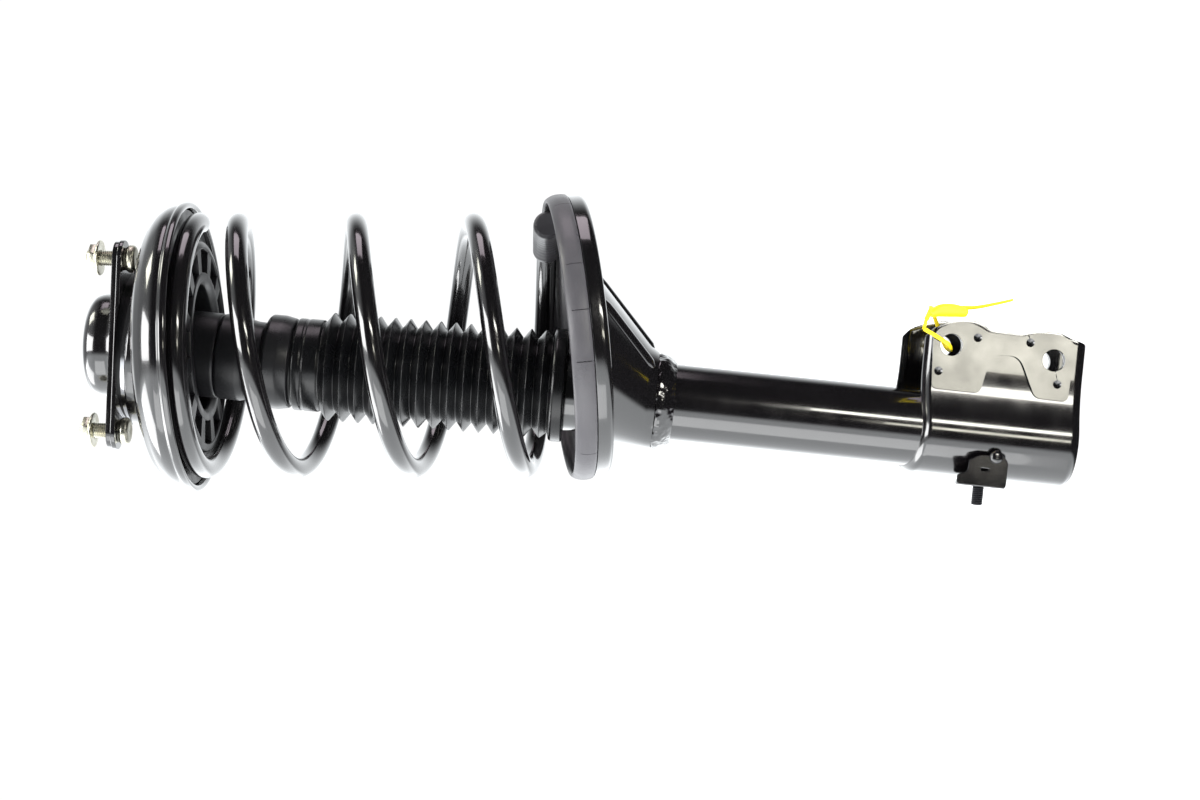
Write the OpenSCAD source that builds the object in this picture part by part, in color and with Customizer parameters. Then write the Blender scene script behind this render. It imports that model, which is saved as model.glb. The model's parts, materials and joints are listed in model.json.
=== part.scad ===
// MacPherson strut assembly: top mount, bearing, spring seats, coil spring, damper, knuckle bracket.
// Z runs along the piston rod, up is the top mount, the origin is the centre of the tower face.
// The knuckle ears point to +X. All lengths are millimetres.

/* [Top mount] */
// Lean of the mount plates from the rod axis, degrees
mount_tilt = 3.75; // [0:0.25:6]
// Radius of the circle the three studs sit on
stud_circle_r = 64; // [50:1:80]
// Radius of the stud shanks
stud_r = 5; // [4:0.5:6]
// Thickness of each mount plate
plate_t = 3; // [2:0.5:4]
// Outer radius of the domed cup
dome_r = 34; // [30:1:36]
// Height of the domed cup above the tower face
dome_h = 21.5; // [18:0.5:30]

/* [Spring seats] */
// Outer radius of the upper seat rim
seat_r = 95.4; // [88:0.2:100]
// Lean of the upper seat from the rod axis, degrees
seat_tilt = 7.15; // [0:0.05:10]
// Sideways position of the upper seat
seat_x = 4; // [0:0.5:6]
// Height of the centre of the upper seat rim
seat_z = -45; // [-50:1:-40]
// Outer radius of the lower perch rim
perch_r = 92.9; // [86:0.1:98]
// Lean of the lower perch towards -X, degrees
perch_tilt = 11.5; // [0:0.5:15]
// Lean of the lower perch towards -Y, degrees
perch_lean = 5.7; // [0:0.1:8]
// Sideways position of the perch centre
perch_x = 36.9; // [25:0.1:40]
// Height of the perch centre
perch_z = -297; // [-305:1:-290]

/* [Coil spring] */
// Radius of the spring wire
wire_r = 7; // [5:0.5:8]
// Radius of the coil, to the middle of the wire
coil_r = 80.5; // [70:0.5:85]
// Lean of the spring axis from the rod axis, degrees
coil_tilt = 5.915; // [0:0.005:8]

/* [Damper] */
// Outer radius of the damper tube
tube_r = 25.5; // [22:0.5:30]
// Wall thickness of the damper tube
tube_wall = 3; // [2:0.25:4]
// Top of the damper tube
tube_top = -289; // [-292:1:-280]
// Radius of the piston rod
rod_r = 11; // [9:0.5:12]
// Bore radius of the inner cylinder
bore_r = 16; // [14:0.5:18]

/* [Dust boot] */
// Lean of the boot from the rod axis, degrees
boot_tilt = 1.3; // [0:0.1:2]
// Radius of the convolution peaks
boot_peak_r = 36; // [32:0.5:40]
// Radius of the convolution valleys
boot_valley_r = 29.3; // [26:0.1:32]
// Number of convolutions
folds = 15; // [8:1:20]
// Distance from one convolution to the next
fold_pitch = 9.98; // [8:0.01:12]

/* [Knuckle bracket] */
// Upper end of the bracket at the tube's axis
bracket_top = -517; // [-525:1:-510]
// Slant of the bracket's upper end, degrees
bracket_slant = 15; // [0:1:20]
// Lower end of the bracket
bracket_end = -626; // [-640:1:-620]
// Radius of the two knuckle bolt holes
bolt_hole_r = 7.25; // [6:0.05:8.5]
// Half the gap between the ears
ear_gap = 17; // [15:0.5:20]
// Thickness of the bracket sheet
ear_t = 4; // [3:0.5:5]
// Thickness of the doubler plates
doubler_t = 2.5; // [2:0.5:4]

/* [Hidden] */
fit = 0.08;
big = 400;
stud_angles = [-30, 90, 210];
ear_r = 11;
tower_under = -2 * plate_t;
stud_neck_r = stud_r - 0.2;
stud_tip_r = stud_r - 0.6;
nut_low = 9.4;
ball_r = 2;
ball_circle_r = 41;
ball_z = -14.5;
ball_count = 24;
race_gap = 0.3;
race_t = 2.5;
race_in = 33;
race_out = 48.6;
race_low_top = ball_z - ball_r - race_gap;
race_high_low = ball_z + ball_r + race_gap;
cup_floor_t = 3;
cup_floor_top = race_low_top - race_t;
hub_bore_r = 24;
fine = 96;
tube_low = bracket_end + 3;

// a ring about Z between two heights
module ring(r_out, r_in, z_low, z_high) {
  translate([0, 0, z_low]) difference() {
    cylinder(r = r_out, h = z_high - z_low, $fn = fine);
    translate([0, 0, -1]) cylinder(r = r_in, h = z_high - z_low + 2, $fn = fine);
  }
}

// the frame of the tilted mount plates, of the upper seat and of the lower perch
module in_mount() { rotate([0, -mount_tilt, 0]) children(); }
module in_seat() { translate([seat_x, 0, seat_z]) rotate([0, -seat_tilt, 0]) children(); }
module in_perch() {
  translate([perch_x, 0, perch_z]) rotate([perch_lean, -perch_tilt, 0]) children();
}

// a rounded triangle with a corner at each stud
function corner(a, b, r) =
  [stud_circle_r * cos(a) + r * cos(a + b), stud_circle_r * sin(a) + r * sin(a + b)];
module triangle(r) {
  polygon([for (a = stud_angles) for (b = [-60, 60]) corner(a, b, r)]);
  for (a = stud_angles) rotate(a) translate([stud_circle_r, 0]) circle(r = r, $fn = fine);
}
module at_studs() {
  for (a = stud_angles) rotate([0, 0, a]) translate([stud_circle_r, 0, 0]) children();
}

module mount_plate_upper() color([0.05, 0.05, 0.055]) in_mount() {
  difference() {
    union() {
      translate([0, 0, -plate_t]) linear_extrude(plate_t) triangle(ear_r);
      rotate_extrude($fn = fine) polygon([[dome_r - 3, -plate_t], [dome_r + 3, -plate_t],
        [dome_r + 3, 0], [dome_r + 0.6, 1.5], [dome_r, 4], [dome_r, dome_h - 9],
        [dome_r - 1.6, dome_h - 4.4], [dome_r - 5, dome_h - 1.2], [dome_r - 9, dome_h],
        [17, dome_h], [17, dome_h - 3], [dome_r - 9.5, dome_h - 3],
        [dome_r - 6.6, dome_h - 3.8], [dome_r - 4.2, dome_h - 6],
        [dome_r - 3, dome_h - 9.5]]);
    }
    translate([0, 0, -plate_t - 1]) cylinder(r = dome_r - 3, h = plate_t + 2, $fn = fine);
    at_studs() translate([0, 0, -plate_t - 1]) cylinder(r = stud_r, h = 5, $fn = 48);
  }
}

module mount_plate_lower() color([0.05, 0.05, 0.055]) in_mount() difference() {
  translate([0, 0, tower_under]) linear_extrude(plate_t) triangle(ear_r + 1);
  translate([0, 0, tower_under - 1]) cylinder(r = dome_r - 3, h = plate_t + 2, $fn = fine);
  at_studs() translate([0, 0, tower_under - 1]) cylinder(r = stud_r, h = 5, $fn = 48);
}

module mount_bushing() color([0.03, 0.03, 0.03]) difference() {
  in_mount() rotate_extrude($fn = fine) polygon([[13, -5], [30.9, -5], [30.9, 12],
    [27, 14.5], [13, 11]]);
  translate([0, 0, -10]) cylinder(r = 14 + fit, h = 40, $fn = fine);
}

module mount_sleeve() color([0.55, 0.56, 0.58]) difference() {
  union() {
    translate([0, 0, -8]) cylinder(r = 14, h = 20, $fn = fine);
    translate([0, 0, -8]) cylinder(r = 19, h = 1.5, $fn = fine);
  }
  translate([0, 0, -9]) cylinder(r = 7 + fit, h = 22, $fn = fine);
}

module mount_studs() color([0.72, 0.7, 0.62]) in_mount() at_studs() {
  translate([0, 0, tower_under - 7]) cylinder(r = 9, h = 5.5, $fn = 48);
  translate([0, 0, tower_under - 1.5]) cylinder(r = 7.5, h = 1.5, $fn = 48);
  translate([0, 0, tower_under - 2]) cylinder(r = stud_neck_r, h = 2.3 - tower_under, $fn = 48);
  translate([0, 0, 0.3]) cylinder(r = stud_r, h = nut_low - 0.6, $fn = 48);
  translate([0, 0, nut_low - 1]) cylinder(r = stud_tip_r, h = 10.1, $fn = 48);
}

module mount_nuts() color([0.7, 0.72, 0.7]) in_mount() at_studs() difference() {
  union() {
    translate([0, 0, nut_low]) cylinder(r = 11.4, h = 1.8, $fn = 48);
    translate([0, 0, nut_low + 1.8]) cylinder(r1 = 11.4, r2 = 8.2, h = 1.6, $fn = 48);
    translate([0, 0, nut_low + 1.8]) rotate([0, 0, 15]) cylinder(r = 8.8, h = 5.4, $fn = 6);
  }
  translate([0, 0, nut_low - 0.5]) cylinder(r = stud_tip_r + fit, h = 9, $fn = 48);
}

module insulator() color([0.03, 0.03, 0.03]) difference() {
  ring(race_out, race_in, race_high_low + race_t, 4);
  in_mount() translate([-big / 2, -big / 2, tower_under - 0.02]) cube([big, big, 40]);
}

module bearing_race_upper() color([0.6, 0.6, 0.62])
  ring(race_out, race_in, race_high_low, race_high_low + race_t);

module bearing_race_lower() color([0.6, 0.6, 0.62])
  ring(race_out, race_in, race_low_top - race_t, race_low_top);

module bearing_balls() color([0.8, 0.8, 0.82])
  for (i = [0 : ball_count - 1]) rotate([0, 0, i * 360 / ball_count])
    translate([ball_circle_r, 0, ball_z]) sphere(r = ball_r, $fn = 36);

module bearing_cage() color([0.85, 0.8, 0.65]) difference() {
  ring(ball_circle_r + 3.4, ball_circle_r - 3.4, ball_z - 0.8, ball_z + 0.8);
  for (i = [0 : ball_count - 1]) rotate([0, 0, i * 360 / ball_count])
    translate([ball_circle_r, 0, ball_z - 2]) cylinder(r = ball_r + 0.1, h = 4, $fn = 24);
}

module rod() color([0.85, 0.86, 0.88]) {
  translate([0, 0, -400]) cylinder(r = 7, h = 20, $fn = fine);
  translate([0, 0, -380]) cylinder(r = rod_r, h = 372, $fn = fine);
  translate([0, 0, -8]) cylinder(r = 7, h = 28.5, $fn = fine);
}

module rod_nut() color([0.6, 0.6, 0.62]) difference() {
  translate([0, 0, 12]) cylinder(r = 12.6, h = 7, $fn = 6);
  translate([0, 0, 11]) cylinder(r = 7 + fit, h = 10, $fn = fine);
}

module bump_spacer() color([0.08, 0.08, 0.08]) {
  ring(14, rod_r + fit, -66, -8.02);
  ring(21, rod_r + fit, -70, -66);
}

module bump_stop() color([0.85, 0.78, 0.45]) difference() {
  rotate_extrude($fn = fine) polygon([[8, -70.02], [20, -70.02], [21, -73], [21, -92],
    [17.5, -96], [17.5, -99], [21, -103], [21, -120], [17, -124], [17, -127], [20, -131],
    [20, -148], [16, -152], [16, -155], [18, -159], [17, -172], [14.5, -182], [8, -182]]);
  translate([0, 0, -190]) cylinder(r = rod_r + fit, h = 130, $fn = fine);
}

module rebound_stop() color([0.55, 0.56, 0.58]) ring(14.6, rod_r + fit, -319, -309);

module piston() color([0.5, 0.5, 0.52]) difference() {
  translate([0, 0, -396]) cylinder(r = bore_r - 0.5, h = 15.98, $fn = fine);
  translate([0, 0, -397]) cylinder(r = 7 + fit, h = 18, $fn = fine);
  translate([0, 0, -391]) difference() {
    cylinder(r = bore_r + 1, h = 6, $fn = fine);
    translate([0, 0, -1]) cylinder(r = bore_r - 1.5, h = 8, $fn = fine);
  }
  for (i = [0 : 5]) rotate([0, 0, 60 * i]) translate([11, 0, -397]) cylinder(r = 1.5, h = 18);
}

module piston_ring() color([0.15, 0.13, 0.1])
  ring(bore_r - 0.03, bore_r - 1.5 + fit, -390.95, -385.05);

module piston_nut() color([0.55, 0.56, 0.58]) difference() {
  translate([0, 0, -404.02]) cylinder(r = 10.5, h = 8, $fn = 6);
  translate([0, 0, -405]) cylinder(r = 7 + fit, h = 10, $fn = fine);
}

// the outline of the domed upper seat, radius then height above its rim
seat_top = [[94.2, 3], [93, 9], [90, 14.5], [84, 20], [76, 23.5], [67, 25.5], [58, 27],
  [44, 28]];
seat_in = [[91.2, 1.5], [90.2, 8], [87.4, 12.6], [82.2, 17.3], [75, 20.6], [66.5, 22.6],
  [57.8, 24.1], [44, 25]];
function back(p) = [for (i = [len(p) - 1 : -1 : 0]) p[i]];
function inset(p, d) = [for (q = p) q - [d, d]];

module seat_upper() color([0.05, 0.05, 0.055]) difference() {
  union() {
    in_seat() rotate_extrude($fn = fine) polygon(concat([[91.2, -2], [93.2, -2.6],
      [95, -1.6], [seat_r, 0.4], [seat_r - 0.2, 2]], seat_top, back(seat_in)));
    ring(51.6, 48.8, cup_floor_top - 5, race_high_low - 1);
    ring(51.6, hub_bore_r, cup_floor_top - cup_floor_t, cup_floor_top);
  }
  translate([0, 0, cup_floor_top]) cylinder(r = 48.8, h = 30, $fn = fine);
}

module pad_upper() color([0.04, 0.04, 0.045]) difference() {
  in_seat() difference() {
    rotate_extrude($fn = fine) polygon(concat(back(inset(seat_in, 0.2)), [[90.8, 1],
      [88, 2.2], [73, 2.2], [71, -1], [69, -8], [65, -9], [44, -9], [41, -6], [41, 18]]));
    for (i = [0 : 11]) rotate([0, 0, 30 * i]) translate([48, -5.5, -12]) cube([17, 11, 20]);
  }
  translate([0, 0, -60]) cylinder(r = 36, h = 60, $fn = fine);
  translate([0, 0, cup_floor_top - 5.2]) cylinder(r = 52, h = 30, $fn = fine);
}

module boot_hub() color([0.03, 0.03, 0.035]) {
  ring(33, hub_bore_r, -26, cup_floor_top - cup_floor_t - 0.02);
  ring(28, hub_bore_r, -64, -26);
}

module hub_collar() color([0.05, 0.05, 0.05]) difference() {
  rotate_extrude($fn = fine) polygon([[22, -64.02], [27.4, -64.02], [28.2, -65],
    [28.2, -80], [27.2, -82], [24, -83.5], [22, -83.5]]);
  translate([0, 0, -90]) cylinder(r = hub_bore_r, h = 40, $fn = fine);
}

module boot_retainer() color([0.04, 0.04, 0.04]) rotate_extrude($fn = fine)
  polygon([[22.5, -83.52], [26, -83.52], [25, -88], [25, -93], [29.5, -95], [31, -97],
    [31, -104], [29.4, -112], [27, -112.5], [27, -128], [25.5, -128], [25.5, -96],
    [22.5, -93]]);

// the boot's wall, a zigzag of cones between the two cuffs
boot_t = 1.3;
first_fold = -137;
function fold_line(d) = [for (i = [0 : folds - 1]) each [
  [boot_valley_r + d, first_fold - i * fold_pitch + fold_pitch / 2],
  [boot_peak_r + d, first_fold - i * fold_pitch]]];
boot_low = first_fold - (folds - 0.5) * fold_pitch;

// the boot hangs a little crooked on its retainer
module in_boot() {
  translate([0, 0, -120]) rotate([0, -boot_tilt, 0]) translate([0, 0, 120]) children();
}

module dust_boot() color([0.03, 0.03, 0.03]) in_boot() rotate_extrude($fn = 60)
  polygon(concat([[27.5, -114], [30.4, -114], [30.4, -131]], fold_line(0),
    [[boot_valley_r + 3, boot_low], [36.6, boot_low - 1], [37.5, boot_low - 3],
    [37.5, boot_low - 10], [31, boot_low - 10], [31, boot_low - 8],
    [34, boot_low - 8], [34, boot_low - 3.5],
    [boot_valley_r + 1.6, boot_low - 0.4]], back(fold_line(-boot_t)), [[27.5, -130]]));

// the wire runs down from the upper seat; one entry each half turn
half_turns = [6.5, 7.5, 10.5, 32.5, 71, 109, 147.5, 186, 221.5, 235.5, 242];
function blend3(a, b, c, d, f) = b + 0.5 * f * (c - a
  + f * (2 * a - 5 * b + 4 * c - d + f * (3 * (b - c) + d - a)));
function drop(h) = let (i = min(7, floor(h)), f = h - i)
  blend3(half_turns[i], half_turns[i + 1], half_turns[i + 2], half_turns[i + 3], f);
function wire_mid(h) = let (a = 180 * h, u = drop(h))
  [coil_r * cos(a), -coil_r * sin(a), -u];
wire_steps = 112;
wire_sides = 12;
// a frame across the wire: outward from the spring axis, and the upward side
function wire_point(h, b) = let (a = 180 * h, m = wire_mid(h),
    t = wire_mid(h + 0.01) - wire_mid(h - 0.01), k = t / norm(t),
    out = [cos(a), -sin(a), 0], up = cross(k, out))
  m + wire_r * (cos(b) * out + sin(b) * up);

module in_coil() { translate([4.7, 0, -42.9]) rotate([0, -coil_tilt, 0]) children(); }

module coil_spring() color([0.05, 0.05, 0.055]) in_coil() {
  last = wire_steps * wire_sides;
  polyhedron(
    points = [for (i = [0 : wire_steps]) for (j = [0 : wire_sides - 1])
      wire_point(0.02 + i * 7.95 / wire_steps, j * 360 / wire_sides)],
    faces = concat(
      [for (i = [0 : wire_steps - 1]) for (j = [0 : wire_sides - 1])
        let (a = i * wire_sides + j, b = i * wire_sides + (j + 1) % wire_sides)
        [a, a + wire_sides, b]],
      [for (i = [0 : wire_steps - 1]) for (j = [0 : wire_sides - 1])
        let (a = i * wire_sides + j, b = i * wire_sides + (j + 1) % wire_sides)
        [b, a + wire_sides, b + wire_sides]],
      [[for (j = [0 : wire_sides - 1]) j]],
      [[for (j = [wire_sides - 1 : -1 : 0]) last + j]]));
}

module tube_outer() color([0.04, 0.04, 0.045])
  ring(tube_r, tube_r - tube_wall, tube_low, tube_top);

module tube_cap() color([0.3, 0.3, 0.32]) {
  ring(tube_r, 12, tube_top + 0.02, tube_top + 3);
  ring(tube_r - tube_wall - fit, 20.4, tube_top - 6, tube_top + 0.02);
}

module oil_seal() color([0.05, 0.05, 0.05])
  ring(20.3, rod_r + 0.05, tube_top - 6, tube_top);

module rod_guide() color([0.5, 0.5, 0.52]) {
  ring(tube_r - tube_wall - fit, 12.5, -304, tube_top - 6.02);
  ring(bore_r - fit, 12.5, -308, -304);
}

module guide_bushing() color([0.7, 0.55, 0.3])
  ring(12.5 - fit, rod_r + 0.04, -307.5, tube_top - 7);

module cylinder_inner() color([0.6, 0.6, 0.62]) ring(bore_r + 1.5, bore_r, -602, -304.02);

module base_valve() color([0.5, 0.5, 0.52]) {
  translate([0, 0, -603]) cylinder(r = bore_r - fit, h = 10, $fn = fine);
  difference() {
    translate([0, 0, -606]) cylinder(r = bore_r + 1.5, h = 3.98, $fn = fine);
    for (a = [0, 90]) rotate([0, 0, a]) translate([-20, -2, -607]) cube([40, 4, 2.5]);
  }
}

module base_cap() color([0.05, 0.05, 0.055]) {
  translate([0, 0, tube_low]) cylinder(r = tube_r - tube_wall - fit, h = 4, $fn = fine);
  ring(tube_r - tube_wall - fit, 12, tube_low + 4, -606.02);
}

// the perch: a rolled cup, an offset cone below it and a collar round the tube
skirt_r = 32.5;
skirt_low = -351;
perch_cup = [[72, -8.5], [84, -9.5], [88, -11], [91, -10.3], [perch_r, -7.5],
  [perch_r, 0], [perch_r - 2.8, 0], [perch_r - 2.8, -6.5], [88, -8], [84, -6.7],
  [72, -5.7], [61, -4], [61, -6.8]];

module offset_cone(r_top, r_low, z_top) hull() {
  in_perch() translate([-9, 0, -z_top]) cylinder(r = r_top, h = 0.1, $fn = 60);
  translate([0, 0, skirt_low]) cylinder(r = r_low, h = 0.1, $fn = 60);
}

module spring_perch() color([0.05, 0.05, 0.055]) difference() {
  union() {
    in_perch() rotate_extrude($fn = fine) polygon(perch_cup);
    difference() {
      union() {
        offset_cone(62, skirt_r, 6.8);
        in_perch() translate([0, 0, -6.8]) cylinder(r = 61.5, h = 2.7, $fn = fine);
      }
      offset_cone(59, skirt_r - 3, 3.5);
    }
    ring(skirt_r, tube_r - 1, skirt_low, skirt_low + 6);
  }
  translate([0, 0, -400]) cylinder(r = tube_r + fit, h = 200, $fn = fine);
}

module perch_weld() color([0.05, 0.05, 0.055]) difference() {
  translate([0, 0, skirt_low - 0.02]) rotate_extrude($fn = fine)
    polygon([[24, 0], [30.5, 0], [31.2, -2.5], [30.2, -6.5], [28, -10], [25.7, -12.5],
      [24, -12.5]]);
  translate([0, 0, -400]) cylinder(r = tube_r + fit, h = 200, $fn = fine);
}

module pad_lower() color([0.2, 0.2, 0.21]) in_perch() rotate_extrude($fn = fine)
  polygon([[66, -4.3], [72, -5.3], [84, -6.3], [88, -7.6], [89.9, -6.3], [89.9, 0.1],
    [93.4, 0.1], [94.3, 2], [94.4, 6.5], [93.2, 11], [91.4, 13.8], [90, 14.4],
    [88.9, 13], [88.7, 9], [87, 5.6], [83.5, 4.4], [75, 4.4], [70, 3.6], [66, -1]]);

// the sleeve on the last part of the wire
cuff_steps = 8;
cuff_sides = 16;
cuff_points = (cuff_steps + 1) * cuff_sides;
function cuff_ring(i, r) = [for (j = [0 : cuff_sides - 1]) let (
    h = 7.79 + i * 0.19 / cuff_steps, m = wire_mid(h), p = wire_point(h, j * 360 / cuff_sides))
  m + (p - m) * r / wire_r];
function cuff_wall(first, turn) = [for (i = [0 : cuff_steps - 1])
  for (j = [0 : cuff_sides - 1]) for (k = [0, 1])
    let (a = first + i * cuff_sides + j, b = first + i * cuff_sides + (j + 1) % cuff_sides,
      c = k == 0 ? [a, a + cuff_sides, b] : [b, a + cuff_sides, b + cuff_sides])
    turn ? back(c) : c];
function cuff_end(first, turn) = [for (j = [0 : cuff_sides - 1]) for (k = [0, 1])
  let (a = first + j, b = first + (j + 1) % cuff_sides,
    c = k == 0 ? [a, b, cuff_points + b] : [a, cuff_points + b, cuff_points + a])
  turn ? back(c) : c];

module coil_sleeve() color([0.3, 0.3, 0.3]) in_coil() polyhedron(
  points = concat([for (i = [0 : cuff_steps]) each cuff_ring(i, wire_r + 2.4)],
    [for (i = [0 : cuff_steps]) each cuff_ring(i, wire_r + 0.8)]),
  faces = concat(cuff_wall(0, false), cuff_wall(cuff_points, true), cuff_end(0, false),
    cuff_end(cuff_steps * cuff_sides, true)));

// outlines of the ears and doublers, X then Z
hole_upper = [55.9, -538.3];
hole_lower = [52.6, -605.3];
wrap_r = tube_r + fit + ear_t;
ear_rise = (ear_gap + ear_t / 2) * tan(bracket_slant);
function ear_line(top) = [[18, top], [60, top], [66, top - 4], [70.5, -532], [73.2, -541],
  [73.2, -551], [71, -557], [68, -562], [67.5, -584], [69.5, -589], [71, -597],
  [70.8, -609], [67.5, -616], [65.5, bracket_end + 1], [64, bracket_end],
  [18, bracket_end]];
doubler_line = [[60, -526], [65, -528.5], [69, -535], [71.4, -542], [71.2, -550],
  [69, -556], [66.2, -561], [65.8, -584], [67.8, -589], [69.4, -597], [69, -609],
  [66.5, -615], [63.9, -617.6], [26.8, -616.8], [27.1, -595.3], [49.5, -584.6],
  [52.9, -579.7], [52, -566.7], [48.6, -563.8], [26.7, -559.6], [26.7, -528]];
// the slanted space above the bracket and the space below it
module above_slant(drop) translate([0, 0, bracket_top - drop]) rotate([bracket_slant, 0, 0])
  translate([-big / 2, -big / 2, 0]) cube([big, big, big / 2]);
module below_slant(drop) translate([0, 0, bracket_top - drop]) rotate([bracket_slant, 0, 0])
  translate([-big / 2, -big / 2, -big / 2]) cube([big, big, big / 2]);

module plate_y(line, y_low, t) translate([0, y_low + t, 0]) rotate([90, 0, 0])
  linear_extrude(t) polygon(line);

module bolt_holes() for (c = [hole_upper, hole_lower])
  translate([c[0], 60, c[1]]) rotate([90, 0, 0]) cylinder(r = bolt_hole_r, h = 120, $fn = fine);

module knuckle_bracket() color([0.05, 0.05, 0.055]) difference() {
  union() {
    difference() {
      union() {
        ring(wrap_r, tube_r + fit, bracket_end, bracket_top + ear_gap);
        difference() {
          ring(wrap_r + 3.5, tube_r + fit, bracket_top - ear_gap, bracket_top + ear_gap);
          below_slant(3.5);
        }
        ring(wrap_r + 3, tube_r + fit, bracket_end, bracket_end + 3.5);
      }
      above_slant(0);
      translate([0, -ear_gap - ear_t, -big * 2]) cube([60, 2 * (ear_gap + ear_t), big * 2]);
    }
    plate_y(ear_line(bracket_top - ear_rise), -ear_gap - ear_t, ear_t);
    plate_y(ear_line(bracket_top + ear_rise), ear_gap, ear_t);
  }
  translate([0, 0, -700]) cylinder(r = tube_r + fit, h = 300, $fn = fine);
  bolt_holes();
}

module doubler_near() color([0.05, 0.05, 0.055]) difference() {
  plate_y(doubler_line, -ear_gap - ear_t - doubler_t - 0.01, doubler_t);
  bolt_holes();
}

module doubler_far() color([0.05, 0.05, 0.055]) difference() {
  plate_y(doubler_line, ear_gap + ear_t + 0.01, doubler_t);
  bolt_holes();
}

// the hose bracket is a folded plate on the near side of the wrap, its screw points to -X
hose_z = -565.5;
hose_y = -20;
hose_x = -33.5;
sheet_t = 2.6;
clip_y = -31.2;
clip_low = -581;
screw_r = 4;
module hose_bracket() color([0.05, 0.05, 0.055]) difference() {
  union() {
    translate([hose_x, clip_y, clip_low]) cube([20.5, sheet_t, 25]);
    translate([hose_x, clip_y, clip_low]) cube([9, sheet_t, 32]);
    translate([hose_x, clip_y, clip_low]) cube([sheet_t, 23, 32]);
    translate([-24, clip_y + 1, clip_low + 3]) cube([11, 14, 7]);
  }
  translate([0, 0, clip_low - 9]) cylinder(r = wrap_r + fit, h = 50, $fn = fine);
  translate([hose_x - 1, hose_y, hose_z]) rotate([0, 90, 0])
    cylinder(r = screw_r + 0.1, h = 5, $fn = 48);
}

module hose_bolt() color([0.5, 0.5, 0.52]) translate([hose_x, hose_y, hose_z])
  rotate([0, -90, 0]) {
    translate([0, 0, -6.6]) cylinder(r = 6.5, h = 3.95, $fn = 48);
    translate([0, 0, -3]) cylinder(r = screw_r - 0.4, h = 3.6, $fn = 48);
    translate([0, 0, 0.5]) cylinder(r = screw_r, h = 12, $fn = 48);
  }

mount_plate_upper();
mount_plate_lower();
mount_bushing();
mount_sleeve();
mount_studs();
mount_nuts();
insulator();
bearing_race_upper();
rod();
rod_nut();
bump_spacer();
bump_stop();
rebound_stop();
piston();
piston_ring();
piston_nut();
bearing_cage();
bearing_balls();
bearing_race_lower();
seat_upper();
pad_upper();
boot_hub();
hub_collar();
boot_retainer();
coil_spring();
dust_boot();
tube_outer();
tube_cap();
oil_seal();
rod_guide();
guide_bushing();
cylinder_inner();
base_valve();
base_cap();
spring_perch();
perch_weld();
pad_lower();
coil_sleeve();
knuckle_bracket();
doubler_near();
doubler_far();
hose_bracket();
hose_bolt();
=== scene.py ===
import json
import math

import bmesh
import bpy
from mathutils import Matrix, Vector, noise
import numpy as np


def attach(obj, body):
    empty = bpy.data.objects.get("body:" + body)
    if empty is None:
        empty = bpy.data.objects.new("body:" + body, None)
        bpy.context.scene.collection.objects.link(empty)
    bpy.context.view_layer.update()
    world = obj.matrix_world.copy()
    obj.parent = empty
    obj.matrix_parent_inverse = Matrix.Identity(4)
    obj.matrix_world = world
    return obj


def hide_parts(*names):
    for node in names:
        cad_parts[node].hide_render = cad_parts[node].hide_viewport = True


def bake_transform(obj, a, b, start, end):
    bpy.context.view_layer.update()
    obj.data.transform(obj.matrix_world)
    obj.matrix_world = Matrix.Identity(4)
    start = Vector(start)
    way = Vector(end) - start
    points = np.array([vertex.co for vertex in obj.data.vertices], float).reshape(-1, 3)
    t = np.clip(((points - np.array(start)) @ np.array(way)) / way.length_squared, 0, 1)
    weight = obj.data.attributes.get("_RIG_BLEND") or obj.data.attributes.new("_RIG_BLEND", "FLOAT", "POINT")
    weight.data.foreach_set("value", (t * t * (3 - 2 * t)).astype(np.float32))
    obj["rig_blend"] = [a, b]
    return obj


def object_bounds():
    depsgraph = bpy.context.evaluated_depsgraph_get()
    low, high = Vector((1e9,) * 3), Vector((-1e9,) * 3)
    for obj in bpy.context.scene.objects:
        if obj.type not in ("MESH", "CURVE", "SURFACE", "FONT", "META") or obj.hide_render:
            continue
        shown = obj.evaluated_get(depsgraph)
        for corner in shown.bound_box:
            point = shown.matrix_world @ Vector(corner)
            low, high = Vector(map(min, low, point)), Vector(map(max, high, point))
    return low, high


# The looks of the strut. Z runs along the piston rod and the ears point to +X.
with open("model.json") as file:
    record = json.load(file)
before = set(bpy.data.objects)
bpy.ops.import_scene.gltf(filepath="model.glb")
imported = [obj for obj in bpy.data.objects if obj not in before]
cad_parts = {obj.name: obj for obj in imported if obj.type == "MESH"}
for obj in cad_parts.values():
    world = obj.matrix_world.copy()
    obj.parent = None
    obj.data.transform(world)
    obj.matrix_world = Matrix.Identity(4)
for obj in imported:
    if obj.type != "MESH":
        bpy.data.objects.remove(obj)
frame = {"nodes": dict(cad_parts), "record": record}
cad_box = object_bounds()
NODES = frame["nodes"]
FLAT_CORNERS = 9  # a face with this many corners is a flat end and is shaded flat
SLOT = {s["node"]: s["material_slot"] for s in frame["record"]["subparts"]}
MM = Matrix.Scale(0.001, 4)
FINE = 144


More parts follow.
